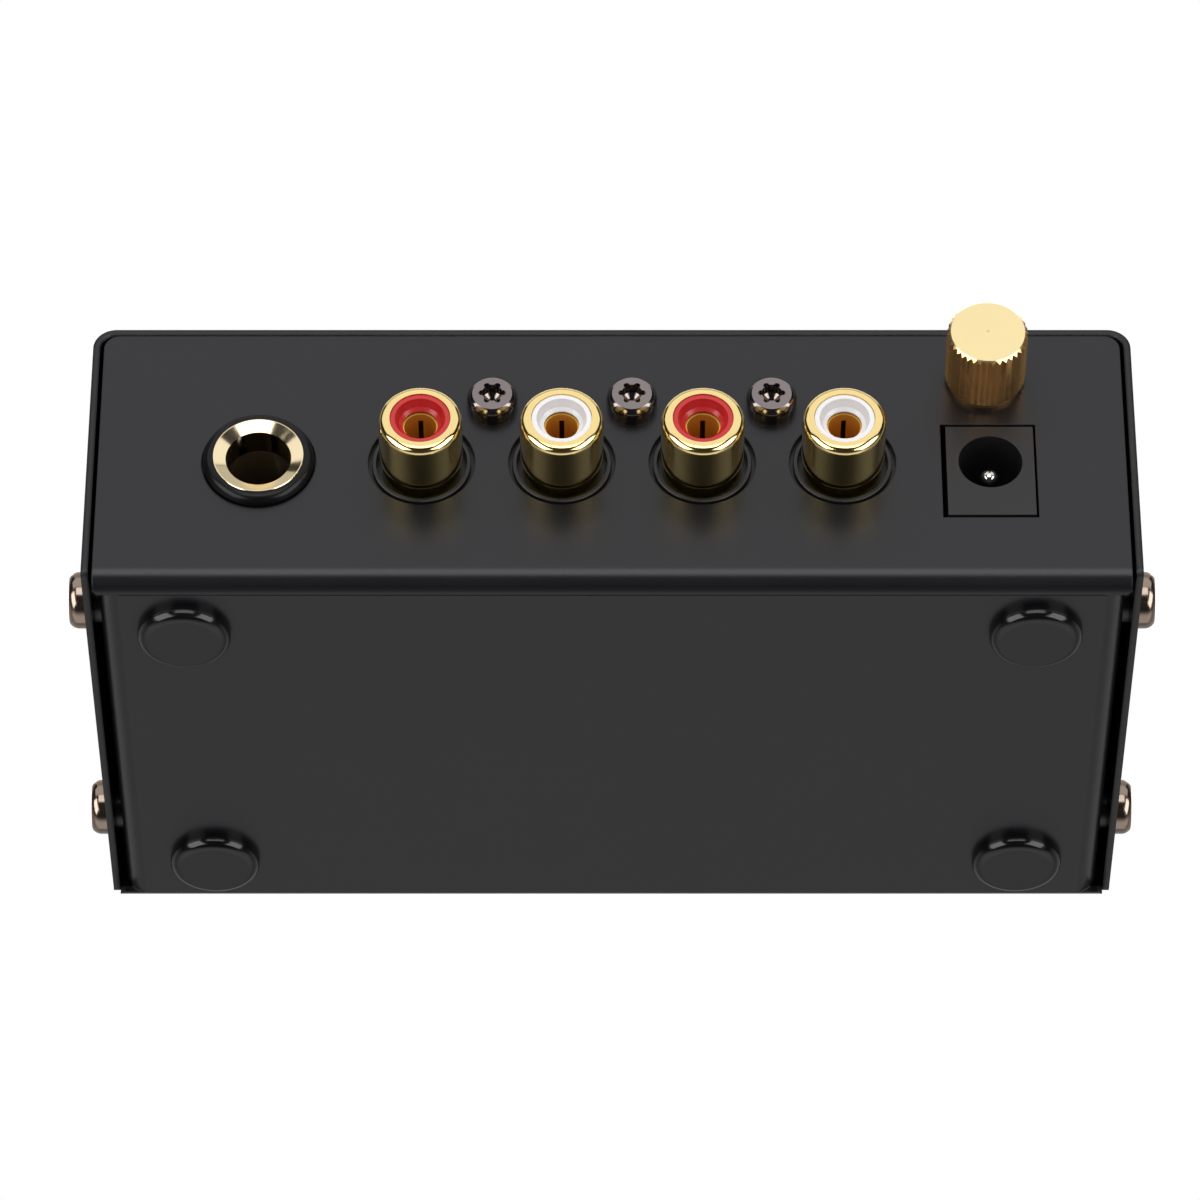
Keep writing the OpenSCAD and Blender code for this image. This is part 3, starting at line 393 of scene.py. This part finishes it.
# Printed ticks round the knobs, sunk a little into the panel.
DIAL_FIRST_DEG = -150
DIAL_STEP_DEG = 30
DIAL_TICKS = 11
LONG_TICKS = (0, 5, 10)
DIAL_RADIUS = 8.1 * MM
LONG_TICK = (1.5 * MM, 0.42 * MM)
SHORT_TICK = (1.0 * MM, 0.28 * MM)
INK_LOW = (FRONT_Y - 0.02) * MM
INK_HIGH = (FRONT_Y + 0.03) * MM


def make_dial_marks():
    bm = bmesh.new()
    for x in (LEVEL_X, VOLUME_X):
        for tick in range(DIAL_TICKS):
            angle = math.radians(DIAL_FIRST_DEG + DIAL_STEP_DEG * tick)
            along = Vector((math.sin(angle), math.cos(angle)))
            length, width = LONG_TICK if tick in LONG_TICKS else SHORT_TICK
            centre = Vector((x, JACK_Z)) * MM + along * (DIAL_RADIUS + length / 2)
            add_bar(bm, centre, along, length, width, INK_LOW, INK_HIGH)
    marks = make_piece("dial_marks", bm, M["pointer_paint"])
    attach(marks, "case")


# Strips of the panel's dark coat in the hairline between the control panel's sides and the cover:
# painted shade where light would show through.
SHADE_STRIP_X = 51.65
SHADE_STRIP_Z = 17.0
SHADE_STRIP_LENGTH = 28.0 * MM
SHADE_STRIP_WIDTH = 0.16 * MM
SHADE_STRIP_LOW = (FRONT_Y + 0.08) * MM
SHADE_STRIP_HIGH = (FRONT_Y + 0.70) * MM


def make_hairline_shade():
    bm = bmesh.new()
    for x in (-SHADE_STRIP_X, SHADE_STRIP_X):
        centre = Vector((x, SHADE_STRIP_Z)) * MM
        add_bar(bm, centre, Vector((0, 1)), SHADE_STRIP_LENGTH, SHADE_STRIP_WIDTH, SHADE_STRIP_LOW, SHADE_STRIP_HIGH)
    shade_strips = make_piece("hairline_shade", bm, M["powder_coat"])
    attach(shade_strips, "case")


make_dial_marks()
make_hairline_shade()


# ---- Stage: one-sided floor, white surroundings, soft lamps --------------------------------------

FLOOR_HALF = 1.6
FLOOR_FADE = (0.16, 0.75)       # where the paper starts to fade, and where it is gone
PAPER = ((0.80, 0.80, 0.80), (0.82, 0.82, 0.82))
PAPER_SCALE = 40


def make_floor():
    """White paper that fades out all round, and that a camera below it sees through."""
    mesh = bpy.data.meshes.new("floor")
    h = FLOOR_HALF
    mesh.from_pydata([(-h, -h, 0), (h, -h, 0), (h, h, 0), (-h, h, 0)], [], [(0, 1, 2, 3)])
    floor = bpy.data.objects.new("floor", mesh)
    bpy.context.scene.collection.objects.link(floor)
    material = bpy.data.materials.new("floor_sheet")
    material.use_nodes = True
    t = Tree(material.node_tree)
    out = t.add("ShaderNodeOutputMaterial")
    coords = t.add("ShaderNodeTexCoord").outputs["Object"]
    distance = t.add("ShaderNodeVectorMath", operation="LENGTH")
    t.link(coords, distance.inputs[0])
    fade = t.remap(distance.outputs["Value"], *FLOOR_FADE, 0, 1, smooth=True)
    below = t.add("ShaderNodeNewGeometry").outputs["Backfacing"]
    paper = t.add("ShaderNodeBsdfDiffuse")
    t.link(t.mix_color(t.noise(coords, PAPER_SCALE), *PAPER), paper.inputs["Color"])
    clear = t.add("ShaderNodeBsdfTransparent")
    mix = t.add("ShaderNodeMixShader")
    t.link(t.math("MAXIMUM", fade, below), mix.inputs[0])
    t.link(paper.outputs[0], mix.inputs[1])
    t.link(clear.outputs[0], mix.inputs[2])
    t.link(mix.outputs[0], out.inputs["Surface"])
    mesh.materials.append(material)
    floor.visible_diffuse = False
    floor.visible_glossy = False
    floor.visible_transmission = False
    floor.visible_shadow = False


WHITE = (1, 1, 1)
# How bright the surroundings are in a reflection, by the ray's direction. Each row is a span of
# one coordinate of the direction and the brightness at its ends.
GLOW_BY_Y = (-0.35, 0.15, 1.0, 0.03)        # bright past the control panel's side only
GLOW_BY_SIDE = (0.15, 0.75, 0.50, 0.58)     # of X without its sign
GLOW_STEEP = (-0.75, -0.45, 1.62, 0.50)     # of Z: brightest in rays that go steeply down
GLOW_LEVEL = (-0.42, -0.15, 0.0, 0.30)      # of Z, added to the row above
AMBIENT = (0.68, 0.68, 0.69)


def make_world():
    """White to the camera, plain ambient light on surfaces, and a shaped glow in reflections."""
    world = bpy.data.worlds.new("studio")
    bpy.context.scene.world = world
    world.use_nodes = True
    t = Tree(world.node_tree)
    out = t.add("ShaderNodeOutputWorld")
    path = t.add("ShaderNodeLightPath")
    toward = t.add("ShaderNodeSeparateXYZ")
    t.link(t.add("ShaderNodeTexCoord").outputs["Generated"], toward.inputs[0])
    past = t.remap(toward.outputs["Y"], *GLOW_BY_Y, smooth=True)
    side = t.remap(t.math("ABSOLUTE", toward.outputs["X"]), *GLOW_BY_SIDE, smooth=True)
    steep = t.remap(toward.outputs["Z"], *GLOW_STEEP)
    level = t.remap(toward.outputs["Z"], *GLOW_LEVEL)
    glow = t.math("MULTIPLY", t.math("ADD", steep, level), t.math("MULTIPLY", past, side))
    mirrored = t.math("MULTIPLY", path.outputs["Is Glossy Ray"], glow)
    seen = t.math("MAXIMUM", path.outputs["Is Camera Ray"], path.outputs["Is Transmission Ray"])
    shown = t.add("ShaderNodeBackground")
    shown.inputs["Color"].default_value = (*WHITE, 1)
    t.link(t.math("MAXIMUM", seen, mirrored), shown.inputs["Strength"])
    ambient = t.add("ShaderNodeBackground")
    ambient.inputs["Color"].default_value = (*AMBIENT, 1)
    mix = t.add("ShaderNodeMixShader")
    t.link(t.math("MAXIMUM", seen, path.outputs["Is Glossy Ray"]), mix.inputs[0])
    t.link(ambient.outputs[0], mix.inputs[1])
    t.link(shown.outputs[0], mix.inputs[2])
    t.link(mix.outputs[0], out.inputs["Surface"])


LAMP_AIM = Vector((0.0, 0.0, 0.016))
COOL = (0.97, 0.975, 1.0)
# Name, azimuth and elevation in degrees, distance, width, height, radiance, colour, and whether
# it lights surfaces, or shows in reflections only. Azimuth 0 is behind the connector panel.
LAMPS = (
    ("rear_softbox", 0, 38, 0.9, 2.0, 0.74, 0.97, COOL, True),
    ("rear_low_softbox", 0, -2, 0.95, 0.73, 0.50, 2.55, COOL, True),
    ("low_left_softbox", 53, -24, 0.9, 0.55, 0.85, 3.6, WHITE, False),
    ("low_right_softbox", -53, -24, 0.9, 0.55, 0.85, 3.6, WHITE, False),
    ("front_softbox", 180, 48, 1.0, 1.1, 0.7, 1.86, WHITE, True),
    ("top_softbox", 0, 90, 1.0, 1.2, 1.2, 0.5, WHITE, False),
)


def make_lamp(name, azimuth, elevation, distance, width, height, radiance, colour, lights):
    """An area lamp that faces the object."""
    data = bpy.data.lights.new(name, "AREA")
    data.shape = "RECTANGLE"
    data.size = width
    data.size_y = height
    data.energy = radiance * math.pi * width * height
    data.color = colour
    lamp = bpy.data.objects.new(name, data)
    bpy.context.scene.collection.objects.link(lamp)
    a, e = math.radians(azimuth), math.radians(elevation)
    away = Vector((-math.sin(a) * math.cos(e), math.cos(a) * math.cos(e), math.sin(e)))
    lamp.location = LAMP_AIM + away * distance
    lamp.rotation_euler = (-away).to_track_quat("-Z", "Y").to_euler()
    lamp.visible_camera = False
    lamp.visible_diffuse = lights


make_floor()
make_world()
for row in LAMPS:
    make_lamp(*row)
